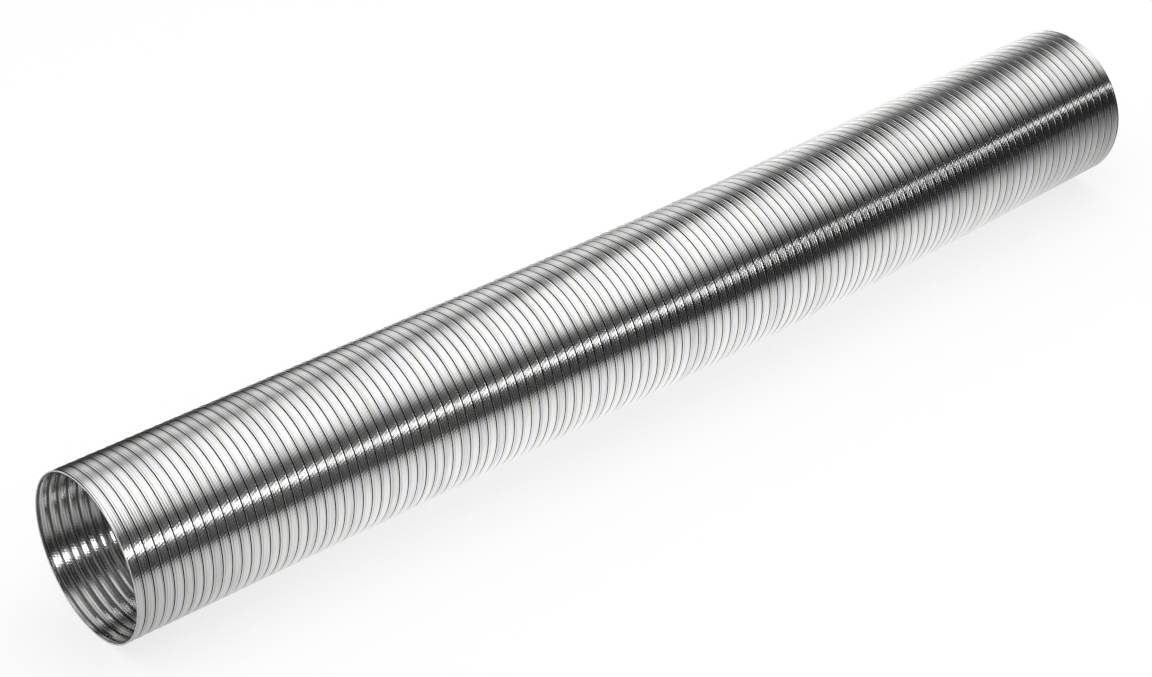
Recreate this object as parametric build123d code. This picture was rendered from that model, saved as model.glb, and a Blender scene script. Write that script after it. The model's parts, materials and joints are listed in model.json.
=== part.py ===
from build123d import *
import os
from math import radians

# Flexible aluminium duct: one strip wound in a spiral and lock seamed, pushed together as it is
# delivered, lying on a level floor. Millimetres, +Z up, +X from the near mouth to the far mouth.
# The origin is the middle of the footprint on the floor.

# Driving dimensions
BORE_DIAMETER = 101.0  # slips over the 99 mm collars of the nominal 100 mm size
WALL = 1.0  # folded wall, from the bore out to a seam that stands proud
SEAM_STEP = 0.4  # how much lower every second seam lies
LENGTH = 800.0  # along the centre line, mouth to mouth
TURNS = 122  # turns of the strip in that length
NEAR_RUN = 360.0  # straight, from the near mouth to the bend
BEND_RUN = 244.0  # along the centre line of the bend
BEND_ANGLE = 3.2  # degrees, level with the floor, towards +Y
SEAM_START = 3.2  # degrees above the +Y side where each seam's circle begins: half of a 56th turn, so
# that a copy of the duct with 56 flats round it lies on a flat and not on the edge between two

# Sizes that follow
BORE_RADIUS = BORE_DIAMETER / 2
PROUD_RADIUS = BORE_RADIUS + WALL
SUNK_RADIUS = PROUD_RADIUS - SEAM_STEP
FAR_RUN = LENGTH - NEAR_RUN - BEND_RUN
BEND_RADIUS = BEND_RUN / radians(BEND_ANGLE)


def centre_line():
    """Straight run, gentle level bend, straight run, as high as the proud seams hold it."""
    near = Line((0, 0, PROUD_RADIUS), (NEAR_RUN, 0, PROUD_RADIUS))
    bend = JernArc(near @ 1, near % 1, BEND_RADIUS, BEND_ANGLE)
    far = Line(bend @ 1, bend @ 1 + (bend % 1) * FAR_RUN)
    return Wire([near, bend, far])


def seam_circle(path, seam):
    """The circle of one seam, square to the centre line. Proud and sunk seams take turns."""
    radius = SUNK_RADIUS if seam % 2 else PROUD_RADIUS
    share = seam / TURNS
    square = Plane(path @ share, x_dir=(0, 1, 0), z_dir=path % share)
    start = square.location * Rot(0, 0, SEAM_START)
    return Wire.make_circle(radius, Plane(start))


def folded_outside(path):
    """One conical face for each turn of the strip, so that neighbouring turns meet at a seam."""
    seams = [seam_circle(path, seam) for seam in range(TURNS + 1)]
    return Solid.make_loft(seams, ruled=True)


def bore(path):
    """The duct's clear way through, along the whole centre line."""
    mouth = Plane(path.location_at(0)) * Circle(BORE_RADIUS)
    return sweep(mouth, path=path)


def on_its_footprint(body):
    """Moves the body so that the origin is the middle of its footprint on the floor."""
    box = body.bounding_box()
    return Pos(-box.center().X, -box.center().Y, -box.min.Z) * body


def duct():
    """The whole duct, open at both mouths, which are cut square."""
    path = centre_line()
    return on_its_footprint(folded_outside(path) - bore(path))


os.makedirs("parts", exist_ok=True)
export_step(duct(), "parts/duct.step")
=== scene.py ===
"""Flexible aluminium duct: one thin strip, corrugated, wound in a spiral and lock seamed to itself.

The duct's line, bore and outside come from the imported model. Lengths are millimetres up to the
meshes, which are in metres. Angles round the duct are degrees from its +Y side over the top.
"""
import json
import math

import bpy
import numpy as np
from mathutils import Euler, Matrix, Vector


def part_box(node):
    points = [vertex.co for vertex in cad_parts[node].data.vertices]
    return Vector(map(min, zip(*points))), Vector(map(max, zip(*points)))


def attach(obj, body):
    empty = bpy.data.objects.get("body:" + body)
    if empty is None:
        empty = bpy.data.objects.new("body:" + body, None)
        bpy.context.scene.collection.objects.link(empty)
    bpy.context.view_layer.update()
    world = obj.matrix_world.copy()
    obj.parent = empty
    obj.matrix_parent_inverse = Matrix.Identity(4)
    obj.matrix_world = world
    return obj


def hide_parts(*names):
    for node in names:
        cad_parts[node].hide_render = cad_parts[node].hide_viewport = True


bl_info = {
    "name": "Flexible aluminium duct",
    "version": (1, 0, 0),
    "blender": (4, 5, 0),
    "location": "View3D > Sidebar > Duct",
    "description": "Winds a spiral seamed aluminium duct and sets it on a pale studio floor",
    "category": "Object",
}

NODE = "duct"
BODY = "root"
MM = 0.001
FULL_TURN = 360.0
FULL_CIRCLE = 2 * math.pi
UNIT = (0.0, 1.0)
WHITE = (1.0, 1.0, 1.0, 1.0)

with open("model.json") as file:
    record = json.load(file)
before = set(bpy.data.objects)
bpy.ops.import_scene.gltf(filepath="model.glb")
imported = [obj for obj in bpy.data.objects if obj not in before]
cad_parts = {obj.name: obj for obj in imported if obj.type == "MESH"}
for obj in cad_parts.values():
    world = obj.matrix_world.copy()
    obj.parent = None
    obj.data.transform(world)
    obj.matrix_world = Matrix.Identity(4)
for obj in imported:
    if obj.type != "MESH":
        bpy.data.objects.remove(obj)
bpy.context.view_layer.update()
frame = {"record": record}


class DuctStrip(bpy.types.PropertyGroup):
    """The strip as it is wound and seamed."""

    turns: bpy.props.IntProperty(
        name="Turns", description="Turns of the strip, mouth to mouth", default=122, min=8)
    pitch_growth: bpy.props.FloatProperty(
        name="Pitch growth",
        description="Far pitch over near pitch: the duct is pushed together less there",
        default=1.12, min=1.01)
    gap_growth: bpy.props.FloatProperty(
        name="Gap growth",
        description="How much more of each turn the crevice takes at the far mouth",
        default=0.03, min=0.0)
    start_angle: bpy.props.FloatProperty(
        name="Start angle",
        description="Degrees round the near mouth where a seam runs out at its edge",
        default=146.0)
    seam_height: bpy.props.FloatProperty(
        name="Seam height", description="Folded seam above the strip, mm", default=0.14, min=0.0)
    crevice_depth: bpy.props.FloatProperty(
        name="Crevice depth", description="Crevice beside the seam, below the strip, mm",
        default=0.5, min=0.0)
    ripple_height: bpy.props.FloatProperty(
        name="Ripple height", description="How far a ripple falls outside, mm", default=0.075)
    inner_ripple: bpy.props.FloatProperty(
        name="Inner ripple",
        description="How far the deepest ripple falls inside, where they are sharper, mm",
        default=0.57)
    ripples: bpy.props.IntProperty(
        name="Ripples", description="Ripples across the strip", default=3, min=1)
    unevenness: bpy.props.FloatProperty(
        name="Unevenness", description="How far hand and machine leave a turn out of true, mm",
        default=0.035)
    lip: bpy.props.FloatProperty(
        name="Lip", description="Thickness of the cut edge round a mouth, mm", default=0.8)
    foil: bpy.props.FloatProperty(
        name="Foil", description="Thickness of the strip, mm", default=0.12, min=0.05)


class DuctFinish(bpy.types.PropertyGroup):
    """Bright rolled aluminium foil."""

    pale: bpy.props.FloatVectorProperty(
        name="Pale", description="Aluminium where it is cleanest", subtype="COLOR", size=3,
        default=(0.99, 0.985, 0.99))
    dull: bpy.props.FloatVectorProperty(
        name="Dull", description="Aluminium where rolling left it duller", subtype="COLOR",
        size=3, default=(0.72, 0.73, 0.72))
    warm_cast: bpy.props.FloatVectorProperty(
        name="Warm cast", description="Faint colour of the foil in some places",
        subtype="COLOR", size=3, default=(0.972, 0.99, 0.94))
    cool_cast: bpy.props.FloatVectorProperty(
        name="Cool cast", description="Faint colour of the foil in other places",
        subtype="COLOR", size=3, default=(0.97, 0.96, 0.99))
    # Painted shade: the dark colour given to the crevice beside a seam and to ripple bottoms,
    # standing in for their shadow
    recess: bpy.props.FloatVectorProperty(
        name="Recess", description="Aluminium deep in the crevice beside a seam",
        subtype="COLOR", size=3, default=(0.008, 0.008, 0.009))
    roughness: bpy.props.FloatProperty(
        name="Roughness", description="Mean roughness of the foil", default=0.14,
        min=0.02, max=1.0, subtype="FACTOR")
    crimp_spacing: bpy.props.FloatProperty(
        name="Crimp spacing", description="From one fine crimp across the strip to the next, mm",
        default=1.8)
    crimp_lean: bpy.props.FloatProperty(
        name="Crimp lean",
        description="Crimps lean this far from straight across the strip, degrees",
        default=22.0)
    crimp_height: bpy.props.FloatProperty(
        name="Crimp height", description="Height of a crimp, mm", default=0.01, min=0.0)
    streak_height: bpy.props.FloatProperty(
        name="Streak height", description="Height of the rolling streaks along the strip, mm",
        default=0.055, min=0.0)


class DuctStudio(bpy.types.PropertyGroup):
    """Pale floor and soft light."""

    world_strength: bpy.props.FloatProperty(
        name="World strength", description="Light of the pale room", default=0.75, min=0.0)
    lamp_power: bpy.props.FloatProperty(
        name="Lamp power", description="Overhead lamp, W", default=9.0, min=0.0, unit="POWER")
    floor_colour: bpy.props.FloatVectorProperty(
        name="Floor colour", description="Pale floor", subtype="COLOR", size=3,
        default=(0.3, 0.3, 0.3))
    floor_lift: bpy.props.FloatProperty(
        name="Floor lift", description="How white the floor shows besides its lit colour",
        default=0.72)


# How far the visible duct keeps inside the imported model's outside radius, mm
CLEARANCE = 0.01


def outline_of_duct():
    """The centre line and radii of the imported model, from its two bore mounts and its box, mm."""
    mounts = {mount["name"]: mount for mount in frame["record"]["mounts"]}
    near, far = mounts["near_bore"], mounts["far_bore"]
    near_along = -np.array(near["axis"], float)
    far_along = np.array(far["axis"], float)
    near_length, far_length = near["dims"]["length_mm"], far["dims"]["length_mm"]
    near_middle = np.array(near["pos_m"]) / MM
    far_middle = np.array(far["pos_m"]) / MM
    bend_start = near_middle + near_along * near_length / 2
    bend_end = far_middle - far_along * far_length / 2
    angle = math.acos(float(near_along @ far_along))
    bend_radius = float(np.linalg.norm(bend_end - bend_start)) / (2 * math.sin(angle / 2))
    low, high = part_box(NODE)
    return {
        "mouth": near_middle - near_along * near_length / 2,
        "near": near_length,
        "angle": angle,
        "bend_radius": bend_radius,
        "bend": bend_radius * angle,
        "length": near_length + bend_radius * angle + far_length,
        "bore": near["dims"]["r_mm"],
        "outside": (high.z - low.z) / 2 / MM - CLEARANCE,
        "height": near_middle[2],
    }


LINE = outline_of_duct()


def on_the_duct(along, angle, radius):
    """Points at a length along the centre line, an angle in radians round it and a radius, mm."""
    turned = np.clip((along - LINE["near"]) / LINE["bend_radius"], 0, LINE["angle"])
    straight = np.minimum(along, LINE["near"])
    beyond = np.maximum(along - LINE["near"] - LINE["bend"], 0)
    x = straight + LINE["bend_radius"] * np.sin(turned) + beyond * np.cos(turned)
    y = LINE["bend_radius"] * (1 - np.cos(turned)) + beyond * np.sin(turned)
    sideways = radius * np.cos(angle)
    points = np.stack([
        x - sideways * np.sin(turned),
        y + sideways * np.cos(turned),
        radius * np.sin(angle),
    ], -1)
    return points + LINE["mouth"]


def along_at(winding, strip):
    """Length along the duct where the strip has made that many turns.

    The pitch grows towards the far mouth.
    """
    growth = strip.pitch_growth
    return LINE["length"] * (growth ** (winding / strip.turns) - 1) / (growth - 1)


# Across the strip from one crevice to the next, as shares of its width. Height runs from -1 in the
# crevice over 0 on the strip's level to 1 on the seam's fold, which hangs over the next turn
CREVICE_RISE = 0.045
SEAM_FOOT = 0.81
SEAM_OUTLINE = ((SEAM_FOOT, 0.0), (0.835, 1.0), (0.895, 0.97), (0.908, -1.0), (1.0, -1.0))
STRIP_MIDDLE = 0.5
# Across one ripple: how far it has fallen, gently, before it climbs back
RIPPLE_OUTLINE = ((0.0, 0.0), (0.75, 1.0))
# The last ripple's depth inside, as a share of the first one's
SHALLOWEST_RIPPLE = 0.5
# The depth, where 1 is the crevice, that paints shade on a ripple's bottom inside, the first
# ripple's bottom outside, and the groove inside the seam's fold
RIPPLE_SHADE = 0.16
FIRST_RIPPLE_SHADE = 0.17
GROOVE_SHADE = 0.22
# A little more than a sum's rounding, so that a ripple's own edge counts as part of it
ROUNDING = 1e-6


def rows_across(strip):
    """Where mesh rows lie across the strip: the crevice, the ripples, then the seam."""
    ripple_rows = [
        CREVICE_RISE + (SEAM_FOOT - CREVICE_RISE) * (index + share) / strip.ripples
        for index in range(strip.ripples) for share, fall in RIPPLE_OUTLINE
    ]
    seam_rows = [share for share, height in SEAM_OUTLINE[:-1]]
    return np.concatenate([[0.0], ripple_rows, seam_rows])


def seam_height(phase, strip):
    """Height over the strip's level, mm, and as a share: 1 on the fold, -1 in the crevice."""
    shares, heights = zip((0.0, -1.0), (CREVICE_RISE, 0.0), *SEAM_OUTLINE)
    share = np.interp(phase, shares, heights)
    height = np.where(share > 0, share * strip.seam_height, share * strip.crevice_depth)
    return height, share


def across_ripples(phase):
    """Place between the crevice and the seam's foot, 0 to 1."""
    return (phase - CREVICE_RISE) / (SEAM_FOOT - CREVICE_RISE)


def ripple(phase, strip):
    """The ripples between two seams: how far they have fallen, 0 to 1."""
    shares, falls = zip(*RIPPLE_OUTLINE)
    across = across_ripples(phase)
    fall = np.interp(across * strip.ripples % 1, shares, falls, period=1)
    return np.where((across > 0) & (across < 1), fall, 0)


def inner_size(phase, strip):
    """How deep each ripple is inside: the first is the deepest."""
    last = strip.ripples - 1
    index = np.clip(np.floor(across_ripples(phase) * strip.ripples + ROUNDING), 0, last)
    return 1 - (1 - SHALLOWEST_RIPPLE) * index / max(last, 1)


UNEVEN_SEED = 7
UNEVEN_WAVES = (0.37, 0.9, 1.7, 3.1, 5.3)
# A turn's tilt against its rise, and the tilt's waves against those of the rise
TILT = 1.2
TILT_WAVES = 1.13


def unevenness(turn, phase, strip):
    """Each turn is a little out of true: smooth along the strip, with its own tilt, mm."""
    draws = np.random.default_rng(UNEVEN_SEED)
    total = np.zeros_like(turn)
    for waves in UNEVEN_WAVES:
        start, lean = draws.uniform(0, FULL_CIRCLE, 2)
        rise = np.sin(FULL_CIRCLE * waves * turn + start)
        tilt = TILT * np.sin(FULL_CIRCLE * waves * TILT_WAVES * turn + lean)
        total += rise / (1 + waves)
        total += tilt * (phase - STRIP_MIDDLE) / (1 + waves)
    return total * strip.unevenness


# Mesh columns in one turn
SEGMENTS = 96
# Least thickness of the wall, mm
THINNEST = 0.08
# How far the cut edge rounds out of each mouth, and how far it stands back from the bore, mm
LIP_ROUNDING = 0.35
LIP_INSET = 0.1
# Mesh cells that would end nearer to the cut edge than this join it, mm
SMALLEST_CELL = 0.12
# The phase of points on the cut edge, which lie on no fold of the strip
NO_PHASE = -1.0
# The least corners of a face
TRIANGLE = 3


def strip_radii(turn, phase, at_mouth, strip):
    """Outside and inside radius of the thin folded wall, mm, and how deep each skin lies.

    That depth runs from -1 where a skin stands proud to 1 in a hollow; it sets the painted
    highlight on the seam's fold and the painted shade in hollows.
    """
    seam, share = seam_height(phase, strip)
    level = LINE["outside"] - strip.seam_height + (seam + unevenness(turn, phase, strip))
    fall = ripple(phase, strip)
    outside = level - strip.ripple_height * fall
    outside = np.clip(outside, LINE["bore"] + THINNEST, LINE["outside"])
    depth = strip.foil + strip.inner_ripple * inner_size(phase, strip) * fall
    inside = np.clip(level - depth, LINE["bore"], outside - THINNEST)
    inside_lip = LINE["bore"] + LIP_INSET
    outside = np.where(at_mouth, inside_lip + strip.lip, outside)
    inside = np.where(at_mouth, inside_lip, inside)
    first = (phase - CREVICE_RISE) * strip.ripples < SEAM_FOOT - CREVICE_RISE
    # Painted shade in the crevice and the first ripple's bottom, painted highlight on the seam's
    # fold; inside, painted shade in the ripples and the fold's groove
    recess = np.where((share == 0) & first, FIRST_RIPPLE_SHADE * fall, -share)
    inside_painted_shade = np.maximum(GROOVE_SHADE * np.clip(share, 0, 1), RIPPLE_SHADE * fall)
    recess, inside_painted_shade = (
        np.where(at_mouth, 0.0, each) for each in (recess, inside_painted_shade))
    return outside, inside, recess, inside_painted_shade


def lattice(first, last, strip):
    """Mesh points of one skin of the strip, from one turn to another, and its faces' corners.

    Neighbouring turns share the points of their crevice, and all that would pass a mouth is
    gathered in that mouth's rim.
    """
    rows = rows_across(strip)
    count = len(rows)
    columns = (last - first) * SEGMENTS
    offset = (-(strip.start_angle + FULL_TURN / 4) / FULL_TURN) % 1
    column, row = np.meshgrid(np.arange(columns + 1), np.arange(count + 1), indexing="ij")
    turn = first + column / SEGMENTS
    share = np.append(rows, 1.0)[row]
    opened = 1 - strip.gap_growth * np.clip((turn - offset) / strip.turns, 0, 1)
    winding = turn + np.where(row == count, 1.0, share * opened) - offset
    near_end, far_end = LIP_ROUNDING, LINE["length"] - LIP_ROUNDING
    along = along_at(winding, strip)
    before, after = along < near_end + SMALLEST_CELL, along > far_end - SMALLEST_CELL
    along = np.where(before, near_end, np.where(after, far_end, along))
    angle = -FULL_CIRCLE / 4 - FULL_CIRCLE * turn

    number = column * count + row
    joined = (row == count) & (column + SEGMENTS <= columns)
    number = np.where(joined, (column + SEGMENTS) * count, number)
    own = (row == count) & (column + SEGMENTS > columns)
    number = np.where(own, (columns + 1) * count + column, number)
    rim_base = (columns + 1) * (count + 1)
    number = np.where(before, rim_base + column % SEGMENTS, number)
    number = np.where(after, rim_base + SEGMENTS + column % SEGMENTS, number)

    total = rim_base + 2 * SEGMENTS
    given = np.stack([along, angle, turn, before | after], -1)
    values = np.zeros((total, given.shape[-1]))
    values[number.ravel()] = given.reshape(-1, given.shape[-1])
    phase = np.zeros(total)
    phase[number.ravel()] = np.where(row == count, 0.0, share).ravel()
    phase[rim_base:] = NO_PHASE

    round_it = turn * FULL_CIRCLE * LINE["outside"]
    on_strip = np.stack([round_it, share * LINE["length"] / strip.turns], -1)
    corner, place = (
        np.stack([grid[:-1, :-1], grid[:-1, 1:], grid[1:, 1:], grid[1:, :-1]], 2)
        for grid in (number, on_strip))
    return corner.reshape(-1, 4), place.reshape(-1, 4, 2), values, phase, rim_base


def drop_repeats(quads, places):
    """Each face's corners without repeated ones, their places, and each face's corner count."""
    differs = quads != np.roll(quads, -1, axis=1)
    counts = differs.sum(1)
    whole = counts >= TRIANGLE
    return quads[whole][differs[whole]], places[whole][differs[whole]], counts[whole]


def free_edges(corners, counts):
    """Directed edges that only one face uses."""
    starts = np.concatenate([[0], np.cumsum(counts)[:-1]])
    nexts = np.arange(len(corners)) + 1
    nexts[starts + counts - 1] = starts
    edges = np.stack([corners, corners[nexts]], -1)
    size = int(corners.max()) + 1
    forward = edges[:, 0] * size + edges[:, 1]
    backward = edges[:, 1] * size + edges[:, 0]
    return edges[~np.isin(forward, backward)]


def turned_over(counts):
    """Order of the corners that turns every face over."""
    starts = np.repeat(np.cumsum(counts) - counts, counts)
    step = np.arange(counts.sum()) - starts
    return starts + np.repeat(counts, counts) - 1 - step


def wall_of_strip(first, last, strip):
    """One length of the strip as a closed thin wall: two skins, their free sides, the cut edge.

    The skins' corners know their place on the flat strip.
    """
    quads, places, values, phase, rim_base = lattice(first, last, strip)
    along, angle, turn, at_mouth = values.T
    outside, inside, recess, inside_painted_shade = strip_radii(turn, phase, at_mouth > 0, strip)
    total = len(along)
    corners, places, counts = drop_repeats(quads, places)
    edges = free_edges(corners, counts)
    rim = (edges >= rim_base).all(1)
    order = turned_over(counts)
    cut = edges[~rim]
    sides = np.stack([cut[:, 1], cut[:, 0], cut[:, 0] + total, cut[:, 1] + total], -1)
    lip_points, lip_faces = lips(edges[rim], along, angle, outside, inside)

    skins = [on_the_duct(along, angle, outside), on_the_duct(along, angle, inside)]
    edging = np.concatenate([sides, lip_faces])
    on_skin, on_side, on_lip = 2 * len(counts), len(sides), len(lip_faces)
    return {
        "points": np.concatenate([*skins, lip_points]) * MM,
        "recess": np.concatenate([recess, inside_painted_shade, np.zeros(len(lip_points))]),
        "corners": np.concatenate([corners, corners[order] + total, edging.ravel()]),
        "counts": np.concatenate([counts, counts, np.full(on_side + on_lip, 4)]),
        "smooth": np.repeat([True, False, True], [on_skin, on_side, on_lip]),
        "places": np.concatenate([places, places[order], np.zeros((edging.size, 2))]),
        "cut": np.repeat([0, 0, 1], [on_skin, on_side, on_lip]),
        "phase": np.concatenate([phase, phase, np.full(len(lip_points), NO_PHASE)]),
        "folds": rows_across(strip),
    }


LIP_STEPS = 4


def lips(edges, along, angle, outside, inside):
    """The rounded cut edge round each mouth, from the outside of the wall over to its inside.

    Its points are numbered after those of the two skins.
    """
    if not len(edges):
        return np.zeros((0, 3)), np.zeros((0, 4), int)
    rim = np.unique(edges)
    outward = np.where(along[rim] < LINE["length"] / 2, -1.0, 1.0)
    middle = (outside[rim] + inside[rim]) / 2
    half = (outside[rim] - inside[rim]) / 2
    rings = []
    for step in range(1, LIP_STEPS):
        bulge = math.sin(math.pi * step / LIP_STEPS)
        across = math.cos(math.pi * step / LIP_STEPS)
        reach = along[rim] + outward * LIP_ROUNDING * bulge
        rings.append(on_the_duct(reach, angle[rim], middle + half * across))
    total = len(along)
    ends = edges[:, ::-1]
    ladder = [ends]
    for ring in range(len(rings)):
        ladder.append(2 * total + ring * len(rim) + np.searchsorted(rim, ends))
    ladder.append(ends + total)
    faces = [
        np.stack([upper[:, 0], upper[:, 1], lower[:, 1], lower[:, 0]], -1)
        for upper, lower in zip(ladder[:-1], ladder[1:])
    ]
    return np.concatenate(rings), np.concatenate(faces)


# Phases nearer than this are the same place across the strip
SAME_PLACE = 1e-4


def creased(phase, edges, folds):
    """Which edges run along a fold of the strip."""
    on_fold = np.isclose(phase[:, None], folds, atol=SAME_PLACE).any(1)
    start, end = edges.T
    level = np.isclose(phase[start], phase[end], atol=SAME_PLACE)
    return on_fold[start] & on_fold[end] & level


def put_in_scene(name, data):
    """A new object of the scene, from its mesh, lamp or camera."""
    placed = bpy.data.objects.new(name, data)
    bpy.context.scene.collection.objects.link(placed)
    return placed


def mesh_object(name, wall):
    """A mesh object from a wall's arrays, with unused points left out."""
    used, corners = np.unique(wall["corners"], return_inverse=True)
    counts = wall["counts"]
    mesh = bpy.data.meshes.new(name)
    mesh.vertices.add(len(used))
    mesh.vertices.foreach_set("co", wall["points"][used].astype(np.float32).ravel())
    mesh.loops.add(len(corners))
    mesh.loops.foreach_set("vertex_index", corners.astype(np.int32))
    mesh.polygons.add(len(counts))
    mesh.polygons.foreach_set("loop_start", (np.cumsum(counts) - counts).astype(np.int32))
    mesh.polygons.foreach_set("use_smooth", wall["smooth"])
    # Per point depth of the skin, which paints shade in hollows and a highlight on the seam's fold
    recess = mesh.attributes.new("recess", "FLOAT", "POINT")
    recess.data.foreach_set("value", wall["recess"][used].astype(np.float32))
    flat_strip = mesh.uv_layers.new(name="flat_strip")
    flat_strip.uv.foreach_set("vector", wall["places"].astype(np.float32).ravel())
    mesh.polygons.foreach_set("material_index", wall["cut"].astype(np.int32))
    mesh.update(calc_edges=True)
    edges = np.empty(2 * len(mesh.edges), np.int32)
    mesh.edges.foreach_get("vertices", edges)
    folded = creased(wall["phase"][used], edges.reshape(-1, 2), wall["folds"])
    sharp = mesh.attributes.new("sharp_edge", "BOOLEAN", "EDGE")
    sharp.data.foreach_set("value", folded)
    mesh.validate()
    return put_in_scene(name, mesh)


class Nodes:
    """Short way to add and join a material's nodes.

    Sums, new ranges and ramps come with the name of their output, ready to be joined.
    """

    def __init__(self, tree):
        self.tree = tree
        self.tree.nodes.clear()

    def add(self, kind, values=None, **settings):
        """A node with its settings and the values of its sockets."""
        node = self.tree.nodes.new(kind)
        for name, value in settings.items():
            setattr(node, name, value)
        for socket, value in (values or {}).items():
            node.inputs[socket].default_value = value
        return node

    def join(self, source, output, target, socket):
        """A link from a node's output to another node's socket."""
        self.tree.links.new(source.outputs[output], target.inputs[socket])

    def calculate(self, operation, *terms):
        """A maths node. Each term is a number, or a node with the name of its output."""
        node = self.add("ShaderNodeMath", operation=operation)
        for index, term in enumerate(terms):
            if isinstance(term, tuple):
                self.join(*term, node, index)
            else:
                node.inputs[index].default_value = term
        return node, "Value"

    def remap(self, source, output, given, wanted=UNIT, **settings):
        """A node's output, taken from one range to another."""
        node = self.add("ShaderNodeMapRange", {
            "From Min": given[0], "From Max": given[1],
            "To Min": wanted[0], "To Max": wanted[1]}, **settings)
        self.join(source, output, node, "Value")
        return node, "Result"

    def ramp(self, source, output, stops):
        """Colours that follow a node's output, from pairs of place and colour."""
        node = self.add("ShaderNodeValToRGB")
        self.join(source, output, node, "Fac")
        elements = node.color_ramp.elements
        elements.remove(elements[-1])
        for index, (position, colour) in enumerate(stops):
            stop = elements.new(position) if index else elements[0]
            stop.position = position
            stop.color = (*colour, 1.0)
        return node, "Color"


def new_material(name):
    """An empty material and its nodes."""
    material = bpy.data.materials.new(name)
    material.use_nodes = True
    return material, Nodes(material.node_tree)


# Noises on the flat strip: length and width in mm, then detail
CLOUDS = (60.0, 9.0, 4.0)
STREAKS = (45.0, 1.5, 2.0)
CAST_PATCHES = (26.0, 7.0, 1.0)
NOISE_ROUGHNESS = 0.6
STREAKS_IN_MOTTLE = 0.45
# Where a noise turns from the first to the second of two colours or strengths
TINT_TURN = (0.34, 0.52)
CAST_TURN = (0.42, 0.58)
CLOUD_TURN = (0.3, 0.7)
# The foil's roughness, over its mean, where the clouds are dark and where they are bright
ROUGHNESS_SPREAD = (1.25, 0.8)
# Depths of a skin at which the painted shade begins and is full, and at which the painted highlight
# on the seam's fold begins and is full
DARK_TURN = (0.05, 0.3)
HIGHLIGHT_TURN = (-0.6, -1.0)
# Painted highlight: the colour of the seam's fold where it stands proud
FOLD_HIGHLIGHT = (0.99, 0.99, 0.99, 1.0)
# Waves that the wave texture has in one unit, at a scale of 1
WAVES_PER_UNIT = 20 / FULL_CIRCLE
# How much the crimps waver, how narrow they are, and their strength where the clouds are dark and
# where they are bright
CRIMP_WAVER = 0.5
CRIMP_SHARPNESS = 3.0
CRIMP_SPREAD = (0.7, 1.3)


def stretched_noise(nodes, place, length, width, detail):
    """Noise on the flat strip, stretched to a length and a width in mm."""
    size = nodes.add("ShaderNodeMapping", {"Scale": (1 / length, 1 / width, 1.0)})
    nodes.join(place, "UV", size, "Vector")
    noise = nodes.add("ShaderNodeTexNoise", {
        "Scale": 1.0, "Detail": detail, "Roughness": NOISE_ROUGHNESS})
    nodes.join(size, "Vector", noise, "Vector")
    return noise


def crimp_relief(nodes, place, finish, clouds):
    """Fine narrow crimps side by side, leaning across the strip, stronger in some places."""
    turned = nodes.add("ShaderNodeMapping", {
        "Rotation": (0.0, 0.0, math.radians(finish.crimp_lean))})
    nodes.join(place, "UV", turned, "Vector")
    waves = nodes.add("ShaderNodeTexWave", {
        "Scale": 1 / (finish.crimp_spacing * WAVES_PER_UNIT),
        "Distortion": CRIMP_WAVER, "Detail": 0.0, "Detail Scale": 1.0})
    nodes.join(turned, "Vector", waves, "Vector")
    narrow = nodes.calculate("POWER", (waves, "Fac"), CRIMP_SHARPNESS)
    strength = nodes.remap(clouds, "Fac", CLOUD_TURN, CRIMP_SPREAD)
    return nodes.calculate("MULTIPLY", narrow, strength)


def foil_colour(nodes, place, finish, clouds, streaks):
    """Cloudy aluminium with a faint cast, a painted highlight on the seam's fold and painted shade
    in the crevice.
    """
    mottle = nodes.add("ShaderNodeMix", {"Factor": STREAKS_IN_MOTTLE})
    nodes.join(clouds, "Fac", mottle, "A")
    nodes.join(streaks, "Fac", mottle, "B")
    tint = nodes.ramp(mottle, "Result", zip(TINT_TURN, (finish.dull, finish.pale)))
    patches = stretched_noise(nodes, place, *CAST_PATCHES)
    cast = nodes.ramp(patches, "Fac", zip(CAST_TURN, (finish.warm_cast, finish.cool_cast)))
    tinged = nodes.add("ShaderNodeMixRGB", {"Fac": 1.0}, blend_type="MULTIPLY")
    nodes.join(*tint, tinged, "Color1")
    nodes.join(*cast, tinged, "Color2")
    # Painted shade where a skin lies deep, and a painted highlight where the seam's fold stands
    # proud
    recess = nodes.add(
        "ShaderNodeAttribute", attribute_type="GEOMETRY", attribute_name="recess")
    deep = nodes.remap(recess, "Fac", DARK_TURN, interpolation_type="SMOOTHSTEP")
    proud = nodes.remap(recess, "Fac", HIGHLIGHT_TURN)
    painted_highlight = nodes.add("ShaderNodeMix", {"B": FOLD_HIGHLIGHT}, data_type="RGBA")
    nodes.join(*proud, painted_highlight, "Factor")
    nodes.join(tinged, "Color", painted_highlight, "A")
    shade = nodes.add("ShaderNodeMix", {"B": (*finish.recess, 1.0)}, data_type="RGBA")
    nodes.join(*deep, shade, "Factor")
    nodes.join(painted_highlight, "Result", shade, "A")
    return shade


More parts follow.
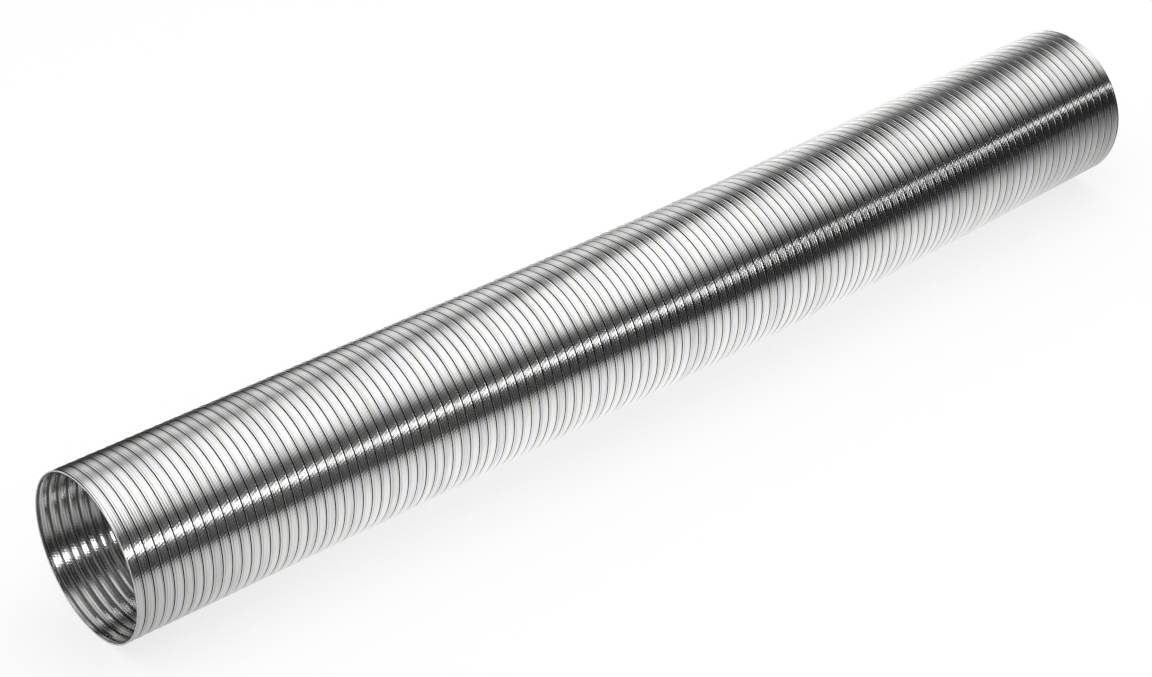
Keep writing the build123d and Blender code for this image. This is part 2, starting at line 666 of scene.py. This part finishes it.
def aluminium(finish):
    """Bright rolled foil: slight clouds and streaks, painted shade in crevices, fine crimps that
    lean.
    """
    material, nodes = new_material("bright_aluminium")
    out = nodes.add("ShaderNodeOutputMaterial")
    foil = nodes.add("ShaderNodeBsdfPrincipled", {"Metallic": 1.0})
    nodes.join(foil, "BSDF", out, "Surface")
    place = nodes.add("ShaderNodeTexCoord")
    clouds = stretched_noise(nodes, place, *CLOUDS)
    streaks = stretched_noise(nodes, place, *STREAKS)
    colour = foil_colour(nodes, place, finish, clouds, streaks)
    nodes.join(colour, "Result", foil, "Base Color")

    spread = [finish.roughness * share for share in ROUGHNESS_SPREAD]
    rough = nodes.remap(clouds, "Fac", CLOUD_TURN, spread)
    nodes.join(*rough, foil, "Roughness")

    rolled = nodes.add("ShaderNodeBump", {
        "Strength": 1.0, "Distance": finish.streak_height * MM})
    nodes.join(streaks, "Fac", rolled, "Height")
    crimped = nodes.add("ShaderNodeBump", {
        "Strength": 1.0, "Distance": finish.crimp_height * MM})
    nodes.join(*crimp_relief(nodes, place, finish, clouds), crimped, "Height")
    nodes.join(rolled, "Normal", crimped, "Normal")
    nodes.join(crimped, "Normal", foil, "Normal")
    return material


BURRS_PER_METRE = 700.0
BURR_DETAIL = 2.0
BURR_COLOURS = ((0.35, (0.8, 0.8, 0.81)), (0.6, (0.98, 0.98, 0.98)))
SHEARED_ROUGHNESS = 0.5


def cut_edge():
    """The bare sheared edge round a mouth, which scatters the light of the room."""
    material, nodes = new_material("sheared_edge")
    out = nodes.add("ShaderNodeOutputMaterial")
    edge = nodes.add("ShaderNodeBsdfPrincipled", {
        "Metallic": 0.0, "Roughness": SHEARED_ROUGHNESS})
    nodes.join(edge, "BSDF", out, "Surface")
    place = nodes.add("ShaderNodeTexCoord")
    burr = nodes.add("ShaderNodeTexNoise", {"Scale": BURRS_PER_METRE, "Detail": BURR_DETAIL})
    nodes.join(place, "Object", burr, "Vector")
    nodes.join(*nodes.ramp(burr, "Fac", BURR_COLOURS), edge, "Base Color")
    return material


LENGTHS_OF_STRIP = 4
# Turns wound past each mouth, so that the cut is square all round
SPARE_TURNS = 1


class DUCT_OT_strip(bpy.types.Operator):
    """Winds the strip from mouth to mouth, in lengths that meet at the seam's crevice"""

    bl_idname = "duct.wind_strip"
    bl_label = "Wind the strip"

    def execute(self, context):
        strip, finish = context.scene.duct_strip, context.scene.duct_finish
        foil, edge = aluminium(finish), cut_edge()
        bounds = np.linspace(-SPARE_TURNS, strip.turns + SPARE_TURNS, LENGTHS_OF_STRIP + 1)
        bounds = [int(bound) for bound in bounds.round()]
        for index, (first, last) in enumerate(zip(bounds[:-1], bounds[1:])):
            wall = wall_of_strip(first, last, strip)
            piece = mesh_object(f"strip_length_{index + 1}", wall)
            piece.data.materials.append(foil)
            piece.data.materials.append(edge)
            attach(piece, BODY)
            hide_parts(NODE)
        return {"FINISHED"}


def strength_ramp(nodes, split, ramp):
    """Light strength over the card's UV v, from pairs of place and strength."""
    return nodes.ramp(split, "Y", [(place, (value,) * 3) for place, value in ramp])


def card_light(name, ramps):
    """A light whose strength follows ramps over the card's UV v, from one to the next along u."""
    material, nodes = new_material(name)
    out = nodes.add("ShaderNodeOutputMaterial")
    glow = nodes.add("ShaderNodeEmission")
    nodes.join(glow, "Emission", out, "Surface")
    place = nodes.add("ShaderNodeTexCoord")
    split = nodes.add("ShaderNodeSeparateXYZ")
    nodes.join(place, "UV", split, "Vector")
    colour = strength_ramp(nodes, split, ramps[0])
    steps = len(ramps) - 1
    for index, ramp in enumerate(ramps[1:]):
        share = nodes.remap(split, "X", (index / steps, (index + 1) / steps))
        blend = nodes.add("ShaderNodeMixRGB")
        nodes.join(*share, blend, "Fac")
        nodes.join(*colour, blend, "Color1")
        nodes.join(*strength_ramp(nodes, split, ramp), blend, "Color2")
        colour = blend, "Color"
    nodes.join(*colour, glow, "Color")
    return material


def mirrored_card(name, rings, shares, ramps):
    """A sheet through rings of points, in mm, that only shiny surfaces see.

    The card's u has a ring's share on that ring, and v runs along each ring.
    """
    count = len(rings[0])
    mesh = bpy.data.meshes.new(name)
    points = [Vector(point) * MM for ring in rings for point in ring]
    faces = [
        (start, start + 1, start + count + 1, start + count)
        for ring in range(len(rings) - 1)
        for start in range(ring * count, (ring + 1) * count - 1)
    ]
    mesh.from_pydata(points, [], faces)
    layer = mesh.uv_layers.new(name="across")
    for loop in mesh.loops:
        ring, step = divmod(loop.vertex_index, count)
        layer.data[loop.index].uv = (shares[ring], step / (count - 1))
    mesh.materials.append(card_light(f"{name}_light", ramps))
    card = put_in_scene(name, mesh)
    for ray in ("camera", "diffuse", "transmission", "volume_scatter", "shadow"):
        setattr(card, f"visible_{ray}", False)
    return card


def over_the_duct(x, angle, radius):
    """A point at an angle in degrees round the duct's near run, mm."""
    turn = math.radians(angle)
    y = LINE["mouth"][1] + radius * math.cos(turn)
    return x, y, LINE["height"] + radius * math.sin(turn)


# What the foil mirrors round the duct: degrees, then light strength before the near mouth, over
# the near part, over the middle, past the middle and over the far part
TENT = (
    (-6, 0.02, 0.03, 0.02, 0.15, 1.60),
    (0, 0.02, 0.05, 0.22, 0.54, 1.03),
    (7, 0.02, 0.19, 0.55, 0.63, 0.82),
    (14, 0.02, 0.42, 0.74, 0.80, 0.82),
    (20, 0.02, 0.63, 0.75, 0.84, 0.68),
    (26, 0.02, 0.67, 0.76, 0.70, 0.36),
    (33, 0.02, 0.53, 0.68, 0.41, 0.19),
    (40, 0.03, 0.38, 0.33, 0.15, 0.08),
    (46, 0.18, 0.44, 0.22, 0.07, 0.03),
    (52, 0.43, 0.81, 0.50, 0.16, 0.03),
    (60, 0.51, 0.95, 0.74, 1.03, 0.25),
    (68, 0.57, 1.05, 0.82, 1.20, 0.72),
    (78, 0.62, 1.17, 0.91, 1.20, 0.93),
    (90, 0.70, 1.23, 1.02, 1.21, 0.98),
    (102, 0.58, 1.25, 1.06, 1.20, 0.84),
    (110, 0.18, 1.14, 0.96, 1.20, 0.70),
    (117, 0.03, 0.94, 0.82, 1.10, 0.57),
    (123, 0.02, 0.72, 0.60, 0.97, 0.32),
    (128, 0.02, 0.43, 0.40, 0.63, 0.13),
    (133, 0.02, 0.12, 0.15, 0.25, 0.06),
    (140, 0.02, 0.12, 0.07, 0.06, 0.02),
    (150, 0.02, 0.12, 0.08, 0.03, 0.02),
    (165, 0.02, 0.12, 0.08, 0.03, 0.02),
    (186, 0.02, 0.04, 0.04, 0.03, 0.02),
)
TENT_RADIUS = 500.0
TENT_STEPS = 96
# Places along the duct, mm, and which of the five strengths stands there, counted from 0
CARD_STATIONS = (
    (-1600.0, 0), (-400.0, 0), (-260.0, 1), (-150.0, 1),
    (85.0, 2), (385.0, 3), (530.0, 4), (1600.0, 4),
)
CARD_ENDS = tuple((x, station / CARD_STATIONS[-1][1]) for x, station in CARD_STATIONS)
CARD_SHARES = [share for x, share in CARD_ENDS]


def light_tent():
    """Half round tent over the duct: broad soft light overhead, dark cards beside it."""
    low, high = TENT[0][0], TENT[-1][0]
    angles = np.linspace(low, high, TENT_STEPS + 1)
    rings = [[over_the_duct(x, angle, TENT_RADIUS) for angle in angles] for x, share in CARD_ENDS]
    places = [(row[0] - low) / (high - low) for row in TENT]
    strengths = list(zip(*TENT))[1:]
    ramps = [list(zip(places, strength)) for strength in strengths]
    return mirrored_card("light_tent", rings, CARD_SHARES, ramps)


EDGE_LAMP_RADIUS = 480.0
# Place along the duct in mm, then degrees, width in degrees and strength
EDGE_LAMP = (
    (-1600.0, 153.5, 10.0, 3.0),
    (-400.0, 153.5, 10.0, 3.0),
    (-260.0, 155.5, 8.8, 1.35),
    (60.0, 156.0, 7.2, 1.3),
    (430.0, 155.2, 5.8, 1.3),
    (520.0, 150.2, 4.0, 1.5),
    (740.0, 149.5, 3.7, 1.5),
    (1600.0, 149.5, 3.7, 1.5),
)


def edge_lamp():
    """A long narrow lamp in front of the duct, for the thin bright line on its side.

    It isn't quite in line with the duct.
    """
    rings = [
        [over_the_duct(x, angle + side * width / 2, EDGE_LAMP_RADIUS) for side in (-1, 1)]
        for x, angle, width, strength in EDGE_LAMP
    ]
    steps = len(EDGE_LAMP) - 1
    shares = [step / steps for step in range(steps + 1)]
    ramps = [[(0.0, strength)] for x, angle, width, strength in EDGE_LAMP]
    return mirrored_card("edge_lamp", rings, shares, ramps)


# How far towards +Y the card begins and ends, how far its stations lie from the tent's along the
# duct, and its height over the floor, mm
BACK_CARD_REACH = (60.0, 492.0)
BACK_CARD_MOVED = -100.0
BACK_CARD_HEIGHT = 1.0
# Pairs of place, from the side by the duct outwards, and light strength, for the same five
# stations as the tent's
BACK_CARD = (
    ((0.0, 0.1),),
    ((0.0, 1.3), (0.13, 0.8), (0.25, 0.2), (0.42, 0.05), (1.0, 0.03)),
    ((0.0, 1.7), (0.35, 1.8), (0.47, 0.05), (1.0, 0.02)),
    ((0.0, 1.3), (0.42, 1.4), (0.62, 0.12), (1.0, 0.08)),
    ((0.0, 1.0), (0.2, 0.9), (1.0, 1.2)),
)


def back_card():
    """A card on the floor behind the duct, dark beside its near half.

    The duct mirrors it as the dark line along its upper edge.
    """
    rings = [
        [(x + BACK_CARD_MOVED, reach, BACK_CARD_HEIGHT) for reach in BACK_CARD_REACH]
        for x, share in CARD_ENDS
    ]
    return mirrored_card("back_card", rings, CARD_SHARES, BACK_CARD)


# Pairs of place over a card's half circle, from its +Y side over the top, and light strength
FAR_CARD = ((0.0, 0.15), (0.3, 0.45), (0.7, 0.45), (1.0, 0.15))
NEAR_CARD = ((0.2, 0.12), (0.3, 0.35), (0.56, 0.35), (0.62, 0.12))
END_CARD_STEPS = 24
# Radius of the small hole round the duct's middle line, mm
END_CARD_HOLE = 1.0


def end_card(name, x, ramp):
    """A card across one end of the tent, mirrored by the steep sides of the seams."""
    angles = np.linspace(0, FULL_TURN / 2, END_CARD_STEPS + 1)
    rings = [
        [over_the_duct(x, angle, radius) for angle in angles]
        for radius in (TENT_RADIUS, END_CARD_HOLE)
    ]
    return mirrored_card(name, rings, UNIT, [ramp])


# Metres
FLOOR_SIDE = 16.0


def floor_sheet(studio):
    """Plain pale floor that stays white in view and keeps the duct's soft shadow."""
    half = FLOOR_SIDE / 2
    corners = [(-half, -half, 0), (half, -half, 0), (half, half, 0), (-half, half, 0)]
    mesh = bpy.data.meshes.new("floor")
    mesh.from_pydata(corners, [], [(0, 1, 2, 3)])
    floor = put_in_scene("floor", mesh)
    material, nodes = new_material("pale_floor")
    out = nodes.add("ShaderNodeOutputMaterial")
    matt = nodes.add("ShaderNodeBsdfDiffuse", {"Color": (*studio.floor_colour, 1.0)})
    lift = nodes.add("ShaderNodeEmission", {"Color": WHITE})
    both = nodes.add("ShaderNodeAddShader")
    nodes.join(matt, "BSDF", both, 0)
    nodes.join(lift, "Emission", both, 1)
    strength = nodes.calculate("MULTIPLY", seen_or_mirrored(nodes), studio.floor_lift)
    nodes.join(*strength, lift, "Strength")
    path = nodes.add("ShaderNodeLightPath")
    pick = nodes.add("ShaderNodeMixShader")
    nodes.join(path, "Is Glossy Ray", pick, "Fac")
    nodes.join(both, "Shader", pick, 1)
    nodes.join(pool_of_light(nodes), "Emission", pick, 2)
    nodes.join(pick, "Shader", out, "Surface")
    mesh.materials.append(material)
    return floor


# The pool's reach to each side, its middle and half length along the duct, metres
POOL_REACH = 0.33
POOL_MIDDLE = 0.02
POOL_HALF_LENGTH = 0.415
# Its strength beside the duct and far from it, and how suddenly it fades sideways and endways
POOL_BRIGHT = 0.98
POOL_EDGE = 0.15
POOL_SIDE_FALL = 1.8
POOL_END_FALL = 4.0


def pool_of_light(nodes):
    """The floor as the foil mirrors it: bright by the duct, fading outwards and past its mouths."""
    place = nodes.add("ShaderNodeTexCoord")
    split = nodes.add("ShaderNodeSeparateXYZ")
    nodes.join(place, "Object", split, "Vector")
    outwards = nodes.calculate("ABSOLUTE", (split, "Y"))
    across = nodes.calculate("DIVIDE", outwards, POOL_REACH)
    from_middle = nodes.calculate("SUBTRACT", (split, "X"), POOL_MIDDLE)
    along = nodes.calculate("DIVIDE", from_middle, POOL_HALF_LENGTH)
    sideways = nodes.calculate("POWER", across, POOL_SIDE_FALL)
    endways = nodes.calculate("POWER", along, POOL_END_FALL)
    distance = nodes.calculate("ADD", sideways, endways)
    fade = nodes.calculate("POWER", math.exp(-1), distance)
    level = nodes.remap(*fade, UNIT, (POOL_EDGE, POOL_BRIGHT))
    glow = nodes.add("ShaderNodeEmission")
    nodes.join(*level, glow, "Strength")
    return glow


def seen_or_mirrored(nodes):
    """1 for rays from the camera and for those a shiny or clear surface sends on, otherwise 0."""
    path = nodes.add("ShaderNodeLightPath")
    first = nodes.calculate("MAXIMUM", (path, "Is Camera Ray"), (path, "Is Glossy Ray"))
    return nodes.calculate("MAXIMUM", first, (path, "Is Transmission Ray"))


def pale_room(studio):
    """Uniform pale light from all round, shown as plain white behind the duct."""
    world = bpy.data.worlds.new("pale_room")
    bpy.context.scene.world = world
    world.use_nodes = True
    nodes = Nodes(world.node_tree)
    out = nodes.add("ShaderNodeOutputWorld")
    light = nodes.add("ShaderNodeBackground", {"Color": WHITE})
    nodes.join(light, "Background", out, "Surface")
    strength = nodes.remap(*seen_or_mirrored(nodes), UNIT, (studio.world_strength, 1.0))
    nodes.join(*strength, light, "Strength")


# Metres
LAMP_SIDES = (2.4, 1.8)
LAMP_PLACE = (0.0, -0.2, 1.6)


def overhead_lamp(studio):
    """A broad soft lamp over the duct, for the floor's shadow, that the foil doesn't mirror."""
    lamp = bpy.data.lights.new("overhead_lamp", "AREA")
    lamp.shape = "RECTANGLE"
    lamp.size, lamp.size_y = LAMP_SIDES
    lamp.energy = studio.lamp_power
    hung = put_in_scene("overhead_lamp", lamp)
    hung.location = LAMP_PLACE
    hung.visible_glossy = False


# Metres, degrees, then the lens and the width of the film in mm
CAMERA_PLACE = (-1.0132, -1.1569, 1.0113)
CAMERA_TILT = (57.294, 0.0, -39.881)
CAMERA_LENS = 91.49
CAMERA_FILM = 36.0


def photo_camera():
    """The camera, at the place, tilt and lens that fit the duct's outline in the picture."""
    camera = bpy.data.cameras.new("camera")
    camera.sensor_fit = "HORIZONTAL"
    camera.sensor_width = CAMERA_FILM
    camera.lens = CAMERA_LENS
    placed = put_in_scene("camera", camera)
    placed.location = CAMERA_PLACE
    placed.rotation_euler = Euler([math.radians(turn) for turn in CAMERA_TILT])
    bpy.context.scene.camera = placed


class DUCT_OT_stage(bpy.types.Operator):
    """Sets the floor, the light and the camera"""

    bl_idname = "duct.set_stage"
    bl_label = "Set the stage"

    def execute(self, context):
        studio = context.scene.duct_studio
        context.scene.view_settings.view_transform = "Standard"
        floor_sheet(studio)
        light_tent()
        edge_lamp()
        back_card()
        end_card("near_card", CARD_ENDS[0][0], NEAR_CARD)
        end_card("far_card", CARD_ENDS[-1][0], FAR_CARD)
        pale_room(studio)
        overhead_lamp(studio)
        photo_camera()
        return {"FINISHED"}


class DUCT_PT_panel(bpy.types.Panel):
    """Sizes, finish and stage of the duct"""

    bl_idname = "DUCT_PT_panel"
    bl_label = "Aluminium duct"
    bl_space_type = "VIEW_3D"
    bl_region_type = "UI"
    bl_category = "Duct"

    def draw(self, context):
        for group in ("duct_strip", "duct_finish", "duct_studio"):
            box = self.layout.box()
            settings = getattr(context.scene, group)
            for name in settings.__annotations__:
                box.prop(settings, name)
        for operator in (DUCT_OT_strip, DUCT_OT_stage):
            self.layout.operator(operator.bl_idname)


CLASSES = (DuctStrip, DuctFinish, DuctStudio, DUCT_OT_strip, DUCT_OT_stage, DUCT_PT_panel)


def register():
    for kind in CLASSES:
        bpy.utils.register_class(kind)
    bpy.types.Scene.duct_strip = bpy.props.PointerProperty(type=DuctStrip)
    bpy.types.Scene.duct_finish = bpy.props.PointerProperty(type=DuctFinish)
    bpy.types.Scene.duct_studio = bpy.props.PointerProperty(type=DuctStudio)


def unregister():
    del bpy.types.Scene.duct_strip
    del bpy.types.Scene.duct_finish
    del bpy.types.Scene.duct_studio
    for kind in reversed(CLASSES):
        bpy.utils.unregister_class(kind)


def main():
    register()
    bpy.ops.duct.wind_strip()
    bpy.ops.duct.set_stage()


if __name__ == "__main__":
    main()
